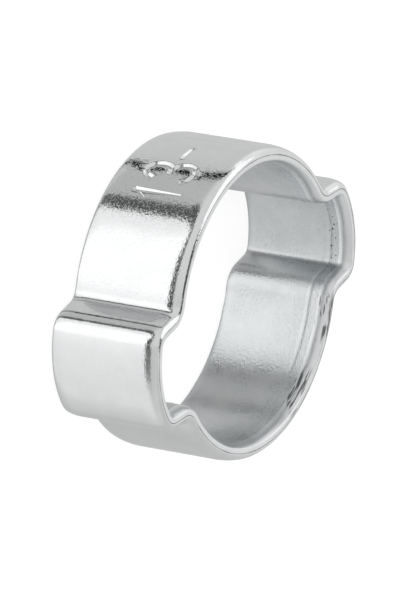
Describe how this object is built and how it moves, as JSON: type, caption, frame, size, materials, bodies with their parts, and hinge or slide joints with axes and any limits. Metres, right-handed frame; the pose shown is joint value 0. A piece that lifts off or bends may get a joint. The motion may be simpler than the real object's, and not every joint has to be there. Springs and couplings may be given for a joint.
{
  "type": "double ear hose clamp",
  "caption": "One-piece crimp hose clamp: a closed steel band with two opposite ears that are pinched to tighten it on a hose.",
  "frame": {"origin": "centre of the bore in the plane of the lower edge, on which the clamp lies", "axes": "+Z along the axis of the bore, +X through the middle of one ear"},
  "size_m": [0.0212, 0.0168, 0.0065],
  "materials": {
    "zinc_plated_steel": "bright zinc plating, glossy outside and satin inside"
  },
  "bodies": {
    "root": {"clamp_band": "zinc_plated_steel"}
  },
  "joints": []
}
